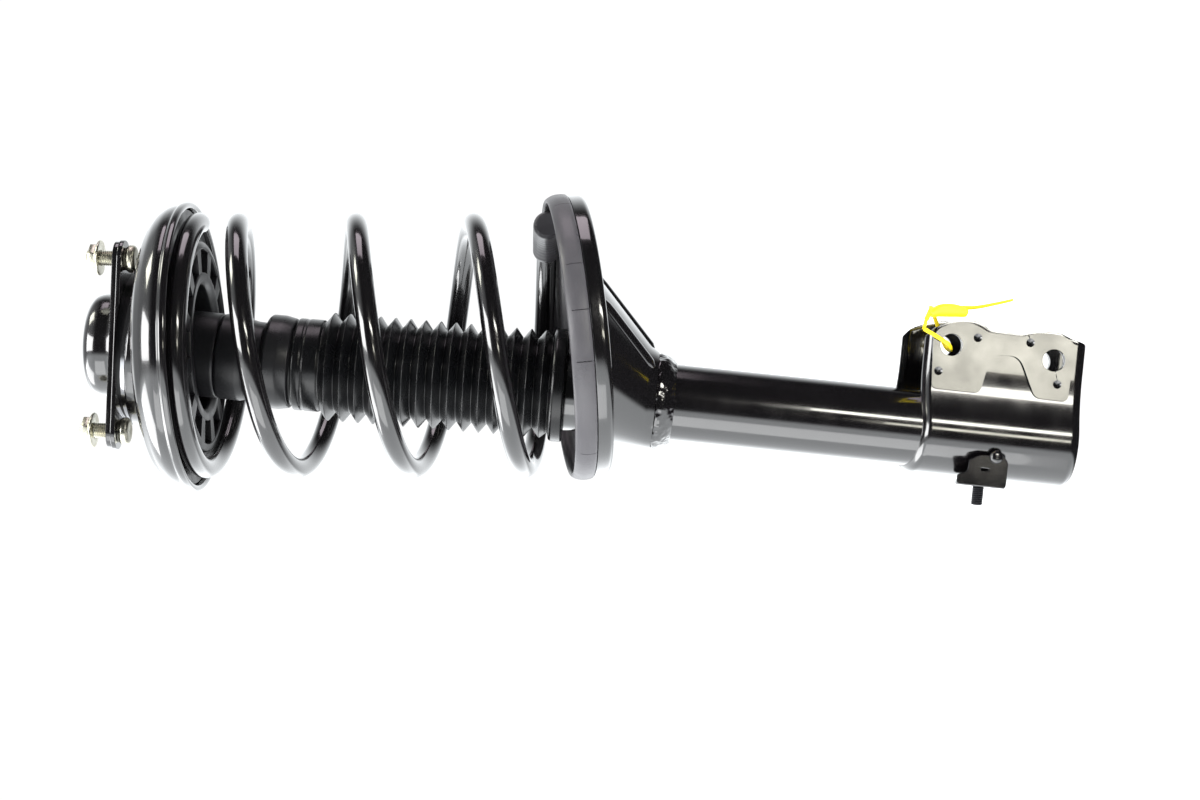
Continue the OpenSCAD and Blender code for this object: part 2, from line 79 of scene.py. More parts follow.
# ---------------------------------------------------------------- materials
def material(name, base, rough, metallic=0.0, coat=0.0, coat_rough=0.05, bump=0.0,
             scale=400.0, vary=0.0, spec=0.5, second=None, mix_scale=60.0):
    """A Principled material; vary and second mottle the roughness and the colour."""
    m = bpy.data.materials.new(name)
    m.use_nodes = True
    t = m.node_tree
    b = t.nodes["Principled BSDF"]
    b.inputs["Base Color"].default_value = (*base, 1)
    b.inputs["Metallic"].default_value = metallic
    b.inputs["Roughness"].default_value = rough
    b.inputs["Coat Weight"].default_value = coat
    b.inputs["Coat Roughness"].default_value = coat_rough
    b.inputs["Specular IOR Level"].default_value = spec
    where = t.nodes.new("ShaderNodeTexCoord")
    if vary or second:
        n = t.nodes.new("ShaderNodeTexNoise")
        n.inputs["Scale"].default_value = mix_scale
        n.inputs["Detail"].default_value = 6
        t.links.new(where.outputs["Object"], n.inputs["Vector"])
        if vary:
            r = t.nodes.new("ShaderNodeMapRange")
            r.inputs["From Min"].default_value = 0.3
            r.inputs["From Max"].default_value = 0.7
            r.inputs["To Min"].default_value = max(0.02, rough - vary)
            r.inputs["To Max"].default_value = min(1.0, rough + vary)
            t.links.new(n.outputs["Fac"], r.inputs["Value"])
            t.links.new(r.outputs["Result"], b.inputs["Roughness"])
        if second:
            c = t.nodes.new("ShaderNodeMix")
            c.data_type = "RGBA"
            c.inputs[6].default_value = (*base, 1)
            c.inputs[7].default_value = (*second, 1)
            t.links.new(n.outputs["Fac"], c.inputs[0])
            t.links.new(c.outputs[2], b.inputs["Base Color"])
    if bump:
        n = t.nodes.new("ShaderNodeTexNoise")
        n.inputs["Scale"].default_value = scale
        n.inputs["Detail"].default_value = 3
        t.links.new(where.outputs["Object"], n.inputs["Vector"])
        k = t.nodes.new("ShaderNodeBump")
        k.inputs["Strength"].default_value = bump
        k.inputs["Distance"].default_value = 0.001
        t.links.new(n.outputs["Fac"], k.inputs["Height"])
        t.links.new(k.outputs["Normal"], b.inputs["Normal"])
    return m


MATS = {
    "black_paint": material("black_paint", (0.003, 0.0026, 0.0031), 0.16, coat=1.0,
                            coat_rough=0.03, bump=0.02, scale=130, vary=0.05, spec=1.0),
    "black_rubber": material("black_rubber", (0.004, 0.004, 0.005), 0.36, bump=0.08,
                             scale=700, vary=0.08, spec=0.4),
    "grey_rubber": material("grey_rubber", (0.055, 0.053, 0.059), 0.34, bump=0.1,
                            scale=600, vary=0.08, second=(0.085, 0.082, 0.09)),
    "boot_rubber": material("boot_rubber", (0.003, 0.0032, 0.0038), 0.26, bump=0.05,
                            scale=500, vary=0.07),
    "zinc": material("zinc", (0.66, 0.68, 0.62), 0.3, metallic=1.0, bump=0.08, scale=900,
                     vary=0.1, second=(0.72, 0.66, 0.5), mix_scale=90),
    "bare_steel": material("bare_steel", (0.45, 0.45, 0.46), 0.35, metallic=1.0,
                           bump=0.05, vary=0.1),
    "dark_steel": material("dark_steel", (0.05, 0.05, 0.055), 0.3, metallic=0.9, bump=0.08,
                           scale=900, vary=0.1),
    "rod_chrome": material("rod_chrome", (0.75, 0.76, 0.78), 0.08, metallic=1.0),
    "bearing_steel": material("bearing_steel", (0.6, 0.6, 0.62), 0.15, metallic=1.0),
    "cage_plastic": material("cage_plastic", (0.7, 0.64, 0.48), 0.5),
    "foam": material("foam", (0.62, 0.5, 0.2), 0.75, bump=0.3, scale=900),
    "black_plastic": material("black_plastic", (0.008, 0.008, 0.009), 0.32, bump=0.05,
                              vary=0.06),
    "sintered": material("sintered", (0.2, 0.2, 0.21), 0.6, metallic=0.8, bump=0.2),
    "bronze": material("bronze", (0.5, 0.33, 0.13), 0.4, metallic=1.0),
    "ring_plastic": material("ring_plastic", (0.06, 0.05, 0.04), 0.5),
}
TIE = material("tie_yellow", (1.0, 0.78, 0.015), 0.35)
for name, o in NODES.items():
    o.data.materials.clear()
    o.data.materials.append(MATS[SLOT[name]])
    o.data.shade_smooth()
    o.data.set_sharp_from_angle(angle=math.radians(35))


# ---------------------------------------------------------------- mesh tools
def turn(degrees, axis):
    return Matrix.Rotation(math.radians(degrees), 4, axis)


def move(x, y, z):
    return Matrix.Translation((x, y, z))


# the leaning frames of the mount plates, the upper seat, the perch, the coil and the boot
MOUNT = turn(-3.75, "Y")
SEAT = move(4, 0, -45) @ turn(-7.15, "Y")
PERCH = move(36.9, 0, -297) @ turn(-11.5, "Y") @ turn(5.7, "X")
COIL = move(4.7, 0, -42.9) @ turn(-5.915, "Y")
BOOT_TURN = move(0, 0, -120) @ turn(-1.3, "Y") @ move(0, 0, 120)


def show(name, data):
    o = bpy.data.objects.new(name, data)
    bpy.context.scene.collection.objects.link(o)
    return o


def raw_object(name, verts, faces):
    me = bpy.data.meshes.new(name)
    me.from_pydata([tuple(v) for v in verts], [], faces)
    return show(name, me)


def new_object(name, verts, faces, place=None):
    """A mesh with its doubled points merged and its faces turned outward."""
    o = raw_object(name, verts, faces)
    me = o.data
    b = bmesh.new()
    b.from_mesh(me)
    bmesh.ops.remove_doubles(b, verts=b.verts, dist=0.0005)
    bmesh.ops.recalc_face_normals(b, faces=b.faces)
    b.to_mesh(me)
    b.free()
    if place is not None:
        me.transform(place)
    return o


def bake(o):
    """Applies the modifiers."""
    dg = bpy.context.evaluated_depsgraph_get()
    me = bpy.data.meshes.new_from_object(o.evaluated_get(dg))
    o.modifiers.clear()
    o.data = me
    return o


def bevel(o, width, segments=2, angle=38):
    m = o.modifiers.new("edge", "BEVEL")
    m.width = width
    m.segments = segments
    m.limit_method = "ANGLE"
    m.angle_limit = math.radians(angle)
    m.harden_normals = False
    return bake(o)


def cut(o, *tools):
    """Cuts each tool out of o and removes it."""
    for k in tools:
        m = o.modifiers.new("cut", "BOOLEAN")
        m.operation = "DIFFERENCE"
        m.solver = "EXACT"
        m.object = k
        bake(o)
        bpy.data.objects.remove(k)


def join(o, *others):
    """Adds the other meshes to o, as shells of one piece."""
    b = bmesh.new()
    for k in (o, *others):
        b.from_mesh(k.data)
    b.to_mesh(o.data)
    b.free()
    for k in others:
        bpy.data.objects.remove(k)
    return o


def finish_piece(o, body, mat, nodes=(), sharp=35):
    """Gives a piece its material, its body and the CAD nodes it replaces."""
    o.data.materials.clear()
    o.data.materials.append(MATS[mat] if isinstance(mat, str) else mat)
    for p in o.data.polygons:
        p.material_index = 0
    o.data.transform(MM)
    o.data.shade_smooth()
    o.data.set_sharp_from_angle(angle=math.radians(sharp))
    for p in o.data.polygons:
        p.use_smooth = len(p.vertices) < FLAT_CORNERS
    if body:
        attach(o, body)
    if nodes:
        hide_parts(*nodes)


def soft(points, r, n=4, closed=True):
    """The outline with each corner rounded by a small curve."""
    out, k = [], len(points)
    for i, p in enumerate(points):
        p = Vector(p)
        if not closed and i in (0, k - 1):
            out.append(p)
            continue
        a, b = Vector(points[i - 1]) - p, Vector(points[(i + 1) % k]) - p
        da, db = min(r, 0.45 * a.length), min(r, 0.45 * b.length)
        s, e = p + a.normalized() * da, p + b.normalized() * db
        for j in range(n + 1):
            f = j / n
            out.append(s * (1 - f) ** 2 + p * 2 * f * (1 - f) + e * f * f)
    return [tuple(q) for q in out]


def lathe(name, line, place=None, segs=FINE, angles=None, push=None):
    """A closed outline of (radius, height) turned about Z; push moves points in and out."""
    angles = angles or [2 * math.pi * i / segs for i in range(segs)]
    verts, faces, n, k = [], [], len(line), len(angles)
    for a in angles:
        for r, z in line:
            d = push(a, r, z) if push else 0
            verts.append(((r + d) * math.cos(a), (r + d) * math.sin(a), z))
    for i in range(k):
        for j in range(n):
            a, b = i * n, (i + 1) % k * n
            faces.append((a + j, b + j, b + (j + 1) % n, a + (j + 1) % n))
    return new_object(name, verts, faces, place)


def prism(name, line, low, high, place=None):
    """A flat outline drawn out along Z."""
    n = len(line)
    verts = [(x, y, low) for x, y in line] + [(x, y, high) for x, y in line]
    faces = [tuple(range(n - 1, -1, -1)), tuple(range(n, 2 * n))]
    faces += [(i, (i + 1) % n, n + (i + 1) % n, n + i) for i in range(n)]
    return new_object(name, verts, faces, place)


def disc(r, segs=64):
    steps = [2 * math.pi * i / segs for i in range(segs)]
    return [(r * math.cos(a), r * math.sin(a)) for a in steps]


def sweep(name, path, radius, sides=24, scale=(1, 1)):
    """A capped tube along a path; radius is a number or a function of the step."""
    verts, faces, n = [], [], len(path)
    path = [Vector(p) for p in path]
    side = None
    for i, p in enumerate(path):
        t = (path[min(i + 1, n - 1)] - path[max(i - 1, 0)]).normalized()
        if side is None:
            side = t.cross(Vector((0.1, 0.2, 1))).normalized()
        side = (side - t * side.dot(t)).normalized()
        other = t.cross(side)
        r = radius(i) if callable(radius) else radius
        for j in range(sides):
            a = 2 * math.pi * j / sides
            verts.append(p + side * (r * scale[0] * math.cos(a))
                         + other * (r * scale[1] * math.sin(a)))
    for i in range(n - 1):
        for j in range(sides):
            a, b = i * sides, (i + 1) * sides
            faces.append((a + j, a + (j + 1) % sides, b + (j + 1) % sides, b + j))
    faces += [tuple(range(sides - 1, -1, -1)), tuple(range((n - 1) * sides, n * sides))]
    return new_object(name, verts, faces)


def thread(name, r, low, high, pitch, place, depth=0.55, sides=40):
    """A screw thread from low to high as one helical skin over a core."""
    verts, faces = [], []
    steps = int((high - low) / pitch * 4) + 1
    for i in range(steps + 1):
        for j in range(sides + 1):
            f = j / sides
            z = low + (i + f * 4) * pitch / 4
            d = depth * (0.5 - 0.5 * math.cos(2 * math.pi * (i / 4)))
            a = 2 * math.pi * f
            z = min(max(z - pitch, low), high)
            verts.append(((r - d) * math.cos(a), (r - d) * math.sin(a), z))
    for i in range(steps):
        for j in range(sides):
            a, b = i * (sides + 1) + j, (i + 1) * (sides + 1) + j
            faces.append((a, a + 1, b + 1, b))
    o = new_object(name, verts, faces, place)
    tip = lathe(name + "_core", soft([(0.02, low), (r - depth, low), (r - depth, high - 0.2),
                (r - depth - 0.8, high + 0.4), (0.02, high + 0.4)], 0.3), place, 40)
    return join(o, tip)


# ---------------------------------------------------------------- top mount
STUDS = (-30, 90, 210)
STUD_R = 64.0
SCREW_PITCH = 1.25
STUD_HOLE_R = 5.1


def triangle(r):
    """The plates' outline: an arc of radius r round each stud."""
    line = []
    for a in STUDS:
        c = Vector((STUD_R * math.cos(math.radians(a)), STUD_R * math.sin(math.radians(a))))
        for i in range(-8, 9):
            b = math.radians(a + 60 * i / 8)
            line.append((c.x + r * math.cos(b), c.y + r * math.sin(b)))
    return line


def stud_places(frame_of):
    return [frame_of @ turn(a, "Z") @ move(STUD_R, 0, 0) for a in STUDS]


def stud_drills(low, high):
    return [prism("h", disc(STUD_HOLE_R), low, high, turn(a, "Z") @ move(STUD_R, 0, 0))
            for a in STUDS]


upper = prism("mount_upper", triangle(11), -3, 0)
cut(upper, prism("h", disc(33.2, FINE), -10, 10), *stud_drills(-10, 10))
upper = bevel(upper, 0.8, 3)
dome = lathe("dome", soft([(31, -3), (34, -3), (37.2, -2.2), (37.4, 0.02), (34.7, 1.6),
             (34, 4.5), (34, 12.5), (32.6, 17.3), (29, 20.4), (25, 21.5), (17.4, 21.5),
             (17, 20.9), (17, 18.9), (24.4, 18.5), (27.6, 17.5), (30, 15), (31, 12)], 2.2, 5))
join(upper, dome)
upper.data.transform(MOUNT)
finish_piece(upper, "mount", "black_paint", ["mount_plate_upper"])

lower = prism("mount_lower", triangle(12), -6, -3.05)
cut(lower, prism("h", disc(31, FINE), -20, 10), *stud_drills(-20, 10))
lower = bevel(lower, 0.8, 3)
lip = lathe("lip", soft([(31, -6), (31, -3.2), (33, -3.2), (50, -5.9), (52, -6.05), (50, -6.1),
            (33, -6.1)], 0.5))
join(lower, lip)
lower.data.transform(MOUNT)
finish_piece(lower, "mount", "black_paint", ["mount_plate_lower"])

parts = []
for p in stud_places(MOUNT):
    parts.append(lathe("head", soft([(0.02, -13), (7.2, -13), (9, -11.6), (9, -8.6), (7.6, -7.4),
                 (7.4, -6.05), (0.02, -6.05)], 1.0, 4), p, 64))
    parts.append(thread("stud", 4.98, 0.3, 18.1, SCREW_PITCH, p))
    parts.append(lathe("neck", [(0.02, -6.1), (4.8, -6.1), (4.8, 0.4), (0.02, 0.4)], p, 48))
studs = join(*parts)
finish_piece(studs, "mount", "zinc", ["mount_studs"], sharp=50)


def hex_line(r, first):
    corners = [math.radians(first + 60 * i) for i in range(6)]
    return [(r * math.cos(a), r * math.sin(a)) for a in corners]


parts = []
for p in stud_places(MOUNT):
    flange = lathe("flange", soft([(5.1, 9.45), (11.0, 9.45), (11.4, 10.1), (11.2, 11.0),
                   (8.4, 12.6), (5.1, 12.6)], 0.5, 3), p, 72,
                   push=lambda a, r, z: 0.25 * math.sin(36 * a) if r > 10 else 0)
    body = bevel(prism("hex", hex_line(8.8, 15), 11.3, 16.6), 0.5, 2, 30)
    cut(body, prism("h", disc(STUD_HOLE_R, 40), 5, 25))
    body.data.transform(p)
    parts += [flange, body]
nuts = join(*parts)
finish_piece(nuts, "mount", "zinc", ["mount_nuts"])

# ---------------------------------------------------------------- upper seat
SEAT_LINE = [(91.0, -2.0), (93.4, -2.9), (95.0, -1.9), (95.4, 0.2), (95.0, 1.9), (93.7, 2.5),
             (93.3, 3.4), (93.5, 6.0), (92.8, 9.6), (90, 14.5), (84, 20), (76, 23.5),
             (67, 25.5), (58, 27), (49.5, 27.8), (49.5, 24.9), (57.8, 24.1), (66.5, 22.6),
             (75, 20.6), (82.2, 17.3), (87.4, 12.6), (90.2, 8), (91.0, 1.5)]
seat = lathe("seat_shell", soft(SEAT_LINE, 2.4, 4), SEAT, 216)
cup = lathe("seat_cup", soft([(51.6, -27), (51.6, -13.4), (50.2, -12.4), (48.9, -13.2),
            (48.9, -19.3), (24.1, -19.3), (24.1, -22.3), (48.8, -22.3), (48.8, -24.3)],
            0.8, 3))
join(seat, cup)
finish_piece(seat, "seat", "black_paint", ["seat_upper"])

PAD_LINE = [(90.6, 1.0), (88, 2.1), (74, 2.1), (71.4, -1), (69, -8), (65, -9), (64, -8.4),
            (63, 6.5), (50, 6.5), (49, -8.4), (48, -9), (44, -9), (41, -6), (41, 15), (56, 21.5),
            (66, 21.8), (74, 20), (81.6, 16.6), (86.8, 12), (89.9, 7.8)]
pad = lathe("seat_pad", soft(PAD_LINE, 1.2, 3), SEAT, 144)
RIBS = 12
ribs = []
for i in range(RIBS):
    a = (i + 0.5) * 360 / RIBS
    line = [(47, -4.6), (66, -6.2), (66, 6.2), (47, 4.6)]
    rib = bevel(prism("rib", soft(line, 0.5, 2), -8.2, 8), 1.2, 3, 50)
    rib.data.transform(SEAT @ turn(a, "Z"))
    ribs.append(rib)
join(pad, *ribs)
finish_piece(pad, "seat", "black_rubber", ["pad_upper"])

# ---------------------------------------------------------------- boot and hub
hub = lathe("hub", soft([(24, -22.4), (33, -22.4), (33, -26), (29.2, -27.5), (28, -30),
            (28, -62.5), (27.4, -63.9), (24, -63.9)], 1.2, 3))
finish_piece(hub, "seat", "black_rubber", ["boot_hub"])
collar = lathe("collar", soft([(24, -64.1), (27.3, -64.1), (28.1, -65.2), (28.2, -78.5),
               (27.2, -82), (24.2, -83.4), (24, -83.4)], 1.0, 4))
finish_piece(collar, "seat", "black_rubber", ["hub_collar"])
holder = lathe("holder", soft([(22.5, -83.5), (26, -83.5), (25.2, -86.5), (25, -92.5),
               (29.3, -94.6), (30.9, -96.4), (31, -104.5), (29.6, -111.8), (27, -112.5),
               (27, -128), (25.5, -128), (25.5, -96), (22.5, -93)], 0.9, 4))
finish_piece(holder, "seat", "black_plastic", ["boot_retainer"])

FOLDS, PITCH, FIRST, WALL = 15, 9.98, -137.0, 1.3
PEAK, VALLEY = 36.0, 29.3
outer, inner = [], []
for i in range(FOLDS):
    z = FIRST - i * PITCH
    outer += [(VALLEY, z + PITCH / 2), (PEAK, z)]
    inner += [(VALLEY - WALL, z + PITCH / 2), (PEAK - WALL, z)]
low = FIRST - (FOLDS - 0.5) * PITCH
BOOT = ([(27.5, -114), (29.8, -114), (30.4, -115), (30.4, -119), (30.0, -119.6),
         (30.0, -121), (30.4, -121.6), (30.4, -130.4)] + outer +
        [(VALLEY + 2.4, low), (36.4, low - 1.2), (37.4, low - 3), (37.4, low - 9),
         (36.6, low - 9.9), (31, low - 9.9), (31, low - 8), (34, low - 8),
         (34, low - 3.6), (VALLEY + 1.4, low - 0.5)] + inner[::-1] + [(27.5, -130)])
boot = lathe("boot", soft(BOOT, 0.75, 3), BOOT_TURN, 160)
finish_piece(boot, None, "boot_rubber", ["dust_boot"], sharp=60)
# the folds between these heights, in metres, close evenly as the strut shortens
FOLDS_TOP, FOLDS_LENGTH = -0.131, 0.152
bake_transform(boot, "seat", "strut", (0, 0, FOLDS_TOP), (0, 0, FOLDS_TOP - FOLDS_LENGTH))
for v, w in zip(boot.data.vertices, boot.data.attributes["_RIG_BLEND"].data):
    w.value = min(1, max(0, (FOLDS_TOP - v.co.z) / FOLDS_LENGTH))

# ---------------------------------------------------------------- coil spring
# how far down the wire is at each half turn, with one entry before the first and two after
HALF_TURNS = (6.5, 7.5, 10.5, 32.5, 71, 109, 147.5, 186, 221.5, 235.5, 242)


COIL_R, WIRE_R = 80.5, 7


def drop(h):
    """The depth of the wire after h half turns, on a smooth curve through HALF_TURNS."""
    i = min(7, int(h))
    f = h - i
    a, b, c, d = HALF_TURNS[i:i + 4]
    return b + 0.5 * f * (c - a + f * (2 * a - 5 * b + 4 * c - d + f * (3 * (b - c) + d - a)))


def wire(h):
    """The middle of the wire after h half turns."""
    return Vector((COIL_R * math.cos(math.pi * h), -COIL_R * math.sin(math.pi * h), -drop(h)))


STEPS, SIDES = 480, 32
START, END = 0.02, 7.96
turns = [START + (END - START) * i / STEPS for i in range(STEPS + 1)]
verts, faces = [], []
for i, h in enumerate(turns):
    c = wire(h)
    t = (wire(h + 0.01) - wire(h - 0.01)).normalized()
    out = Vector((math.cos(math.pi * h), -math.sin(math.pi * h), 0))
    up = t.cross(out).normalized()
    r = 0.9 * WIRE_R if i in (0, STEPS) else WIRE_R
    for j in range(SIDES):
        a = 2 * math.pi * j / SIDES
        verts.append(c + out * (r * math.cos(a)) + up * (r * math.sin(a)))
for i in range(STEPS):
    for j in range(SIDES):
        a, b = i * SIDES, (i + 1) * SIDES
        faces.append((a + j, a + (j + 1) % SIDES, b + (j + 1) % SIDES, b + j))
faces += [tuple(range(SIDES - 1, -1, -1)), tuple(range(STEPS * SIDES, (STEPS + 1) * SIDES))]
spring = raw_object("spring", [COIL @ v for v in verts], faces)
finish_piece(spring, None, "black_paint", ["coil_spring"])
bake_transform(spring, "seat", "strut", (0, 0, -0.05), (0, 0, -0.3))
weights = spring.data.attributes["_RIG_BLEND"].data
# the closed turns lie still on their seats, and the free turns between them close up
FREE_FROM, FREE_TO = 0.9, 7.35
for i, h in enumerate(turns):
    f = min(1, max(0, (h - FREE_FROM) / (FREE_TO - FREE_FROM)))
    for j in range(SIDES):
        weights[i * SIDES + j].value = f

# ---------------------------------------------------------------- lower perch
cup = lathe("perch", soft([(58, -6.9), (72, -8.5), (84, -9.5), (88, -11), (91, -10.4),
            (92.6, -8.4), (92.9, -6.5), (92.9, -0.6), (92.4, 0), (90.6, 0), (90.1, -0.6),
            (90.1, -6.3), (88, -8), (84, -6.7), (72, -5.7), (58, -4)], 1.2, 4), PERCH, 216)


CONE_X = -9  # the cone's wide end is off the perch's centre
CONE_LOW = -351


def around(r, a, x, z):
    return Vector((x + r * math.cos(a), r * math.sin(a), z))


def bulge(f):
    """How far down the cone's line a row is, so that the cone swells a little."""
    return f + 0.22 * math.sin(math.pi * f) * (1 - f)


def funnel(name, top_r, low_r, top_z, wall):
    """A skin from a circle in the leaning perch to a circle round the tube."""
    rows, segs, verts, faces = 18, FINE, [], []
    for side in (0, 1):
        d = wall * side
        for i in range(rows + 1):
            for j in range(segs):
                a = 2 * math.pi * j / segs
                p = PERCH @ around(top_r - d, a, CONE_X, -top_z)
                q = around(low_r - d, a, 0, CONE_LOW + 2 - 2 * side)
                last = Vector((q.x, q.y, CONE_LOW))
                verts.append(p.lerp(q, bulge(i / rows)) if i < rows else last)
    n = (rows + 1) * segs
    for i in range(rows):
        for j in range(segs):
            a, b, k = i * segs + j, i * segs + (j + 1) % segs, segs
            faces += [(a, b, b + k, a + k), (n + b, n + a, n + a + k, n + b + k)]
    for j in range(segs):
        a, b = j, (j + 1) % segs
        faces.append((b, a, n + a, n + b))
        a, b = rows * segs + a, rows * segs + b
        faces.append((a, b, n + b, n + a))
    return new_object(name, verts, faces)


cone = funnel("funnel", 62, 32.5, 6.9, 3)
foot = lathe("foot", soft([(25.6, -351), (32.5, -351), (32.5, -347), (28.6, -344), (25.6, -344)],
             0.8, 3))
# pressed beads down the cone: direction, width and how deep each is sunk
BEADS = ((0, 5.5, 4.4), (-52, 4.6, 2.6), (52, 4.6, 2.6))
BEAD_STEPS = 24
beads = []
for direction, width, sink in BEADS:
    a = math.radians(direction)
    p = PERCH @ around(61.5 - sink, a, CONE_X, -7)
    q = around(32 - sink, a, 0, CONE_LOW + 2)
    path = [p.lerp(q, bulge(i / BEAD_STEPS)) for i in range(BEAD_STEPS + 1)]
    beads.append(sweep("bead", path, lambda i, w=width: w * min(
        1, 0.35 + i / 5, (BEAD_STEPS - i) / 4 + 0.3), 20))
join(cup, cone, foot, *beads)
finish_piece(cup, "strut", "black_paint", ["spring_perch"], sharp=40)


def lumps(a, r, z):
    """The uneven surface of the weld, none where it meets the tube."""
    if r < 26.2:
        return 0
    v = Vector((math.cos(a) * 5.0, math.sin(a) * 5.0, z * 0.22))
    w = Vector((math.cos(a) * 14.0, math.sin(a) * 14.0, z * 0.5))
    return 0.8 * noise.noise(v) + 0.35 * noise.noise(w)


weld = lathe("weld", soft([(25.55, -349), (30.6, -350), (31.4, -352.5), (31, -355.5),
             (30, -358.2), (28.6, -360.4), (27.2, -362.2), (26.3, -363.4), (25.55, -363.6)],
             1.0, 3), None, 220, push=lumps)
finish_piece(weld, "strut", "black_paint", ["perch_weld"], sharp=60)

# where the lower pad is slit, in degrees: five on the near side, four on the far side
SLITS = [-math.degrees(math.acos(x)) for x in (0.89, 0.45, 0.14, -0.2, -0.81)]
SLITS += [40, 75, 108, 150]
angles = sorted({round(math.radians(a), 5) for a in
                 [i * 2.0 for i in range(-90, 90)] +
                 [s + d for s in SLITS for d in (-0.5, -0.22, 0, 0.22, 0.5)]})


def slit(a, r, z):
    """How far a point of the pad's outer edge moves in at a slit."""
    near = min(abs(math.degrees(a) - s) for s in SLITS)
    return -0.9 if near < 0.05 and r > 92 and z < 11 else 0


PAD_LOW = [(66, -4.4), (72, -5.4), (84, -6.4), (88, -7.7), (89.9, -6.5), (89.9, 0.15),
           (93.3, 0.15), (94.2, 1.8), (94.4, 5), (94.2, 8.2), (93.2, 11.2), (91.6, 13.8),
           (90.2, 14.3), (88.9, 13), (88.7, 9), (87, 5.6), (83.5, 4.4), (75, 4.4),
           (70, 3.6), (66, -1)]
rubber = lathe("lower_pad", soft(PAD_LOW, 1.4, 4), PERCH, angles=angles, push=slit)
finish_piece(rubber, "strut", "grey_rubber", ["pad_lower"], sharp=50)

CUFF_STEPS = 60


def cuff_r(i):
    """The sleeve's radius: rounded at both ends, with faint rings between."""
    end = min(i, CUFF_STEPS - i, 6) / 6
    return 9.4 - 2.0 * (1 - end) ** 2 + 0.07 * math.sin(i * 2 * math.pi / 5)


path = [COIL @ wire(7.79 + 0.19 * i / CUFF_STEPS) for i in range(CUFF_STEPS + 1)]
cuff = sweep("cuff", path, cuff_r, 40)
finish_piece(cuff, "strut", "grey_rubber", ["coil_sleeve"], sharp=60)

# ---------------------------------------------------------------- damper tube
tube = lathe("tube", soft([(22.6, -289), (24.6, -289), (25.5, -289.8), (25.5, -622),
             (24.8, -623), (22.6, -623)], 0.6, 3), None, 180)
finish_piece(tube, "strut", "black_paint", ["tube_outer"])
cap = lathe("tube_end", soft([(0.02, -623), (14, -623), (16, -622), (20.4, -622), (22.3, -623),
            (22.4, -623), (22.4, -619), (0.02, -619)], 0.8, 3), None, 96)
finish_piece(cap, "strut", "black_paint", ["base_cap"])

# ---------------------------------------------------------------- knuckle bracket
BRACKET_TOP, BRACKET_LOW = -517.0, -626.0
SHEET_R, SHEET_Y = 27.52, 19.0  # the middle of the sheet, round the tube and in the ears
OUTWARD, INWARD = 2, 1.94  # the sheet's thickness on each side of its middle
FILLET = 90.0  # the radius of the curve from the wrap into an ear
SLANT, SLANT_LENGTH = 0.268, 58  # the upper end leans, and this fades out below it
BOLTS = ((55.9, -538.3), (52.6, -605.3))
BOLT_HOLE_R = 7.25
EAR = [(60, BRACKET_TOP), (66, -522), (70.5, -531), (73.2, -541), (73.2, -551), (71, -557),
       (68, -562), (67.5, -584), (69.5, -589), (71, -597), (70.8, -609), (67.5, -616),
       (65.5, -625), (64, BRACKET_LOW)]
ear_line = soft(EAR, 3.0, 3, closed=False)


def ear_x(z):
    """How far out the ear's edge is at this height."""
    for (x0, z0), (x1, z1) in zip(ear_line, ear_line[1:]):
        if z1 <= z <= z0:
            return x0 + (x1 - x0) * (z0 - z) / max(1e-6, z0 - z1)
    return ear_line[-1][0]


def wrap_path(end_x):
    """The middle of the bracket's sheet, from one ear tip round the tube to the other."""
    cx = math.sqrt((SHEET_R + FILLET) ** 2 - (SHEET_Y + FILLET) ** 2)
    end = math.atan2(SHEET_Y + FILLET, cx)
    half = [(end_x + (cx - end_x) * i / 8, -SHEET_Y) for i in range(9)]
    for i in range(1, 15):
        a = math.pi / 2 - (math.pi / 2 - end) * i / 14
        half.append((cx - FILLET * math.cos(a), -(SHEET_Y + FILLET) + FILLET * math.sin(a)))
    for i in range(1, 25):
        a = end + (math.pi - end) * i / 24
        half.append((SHEET_R * math.cos(a), -SHEET_R * math.sin(a)))
    return half + [(x, -y) for x, y in half[-2::-1]]


def flare_left(gap, reach):
    """How much of a flared lip is left at this distance from the sheet's end."""
    return max(0, 1 - gap / reach) ** 2


def sheet_ring(z):
    """The sheet's outline at one height, outer side first and then back along the inner."""
    flare = (4.2 * flare_left(BRACKET_TOP - z, 6.5)
             + 3.2 * flare_left(z - BRACKET_LOW, 5.5))
    lean = SLANT * min(1, max(0, (z - BRACKET_TOP + SLANT_LENGTH) / SLANT_LENGTH))
    mid = wrap_path(ear_x(z))
    outer, inner = [], []
    for i, (x, y) in enumerate(mid):
        a, b = mid[max(i - 1, 0)], mid[min(i + 1, len(mid) - 1)]
        t = Vector((b[0] - a[0], b[1] - a[1])).normalized()
        out, back = OUTWARD + flare, INWARD - flare
        outer.append((x + t.y * out, y - t.x * out, z + lean * y))
        inner.append((x - t.y * back, y + t.x * back, z + lean * y))
    return outer + inner[::-1]


top_rows = [BRACKET_TOP - 0.7 * i for i in range(12)]
middle_rows = [-527 - 3 * i for i in range(31)]
low_rows = [BRACKET_LOW + 0.7 * i for i in range(10)]
ear_rows = [z for _, z in ear_line]
levels = sorted({*top_rows, *middle_rows, *low_rows, *ear_rows}, reverse=True)
rings = [sheet_ring(z) for z in levels]
count, faces = len(rings[0]), []
for i in range(len(rings) - 1):
    for j in range(count):
        a, b = i * count, (i + 1) * count
        faces.append((a + j, a + (j + 1) % count, b + (j + 1) % count, b + j))
for base in (0, (len(rings) - 1) * count):
    for j in range(count // 2 - 1):
        faces.append((base + j, base + j + 1, base + count - 2 - j, base + count - 1 - j))
bracket = new_object("bracket", sum(rings, []), faces)


def bolt_drills():
    return [prism("h", disc(BOLT_HOLE_R, 72), -60, 60, move(x, 0, z) @ turn(-90, "X"))
            for x, z in BOLTS]


cut(bracket, *bolt_drills())
bevel(bracket, 0.7, 2, 50)
finish_piece(bracket, "strut", "black_paint", ["knuckle_bracket"], sharp=40)

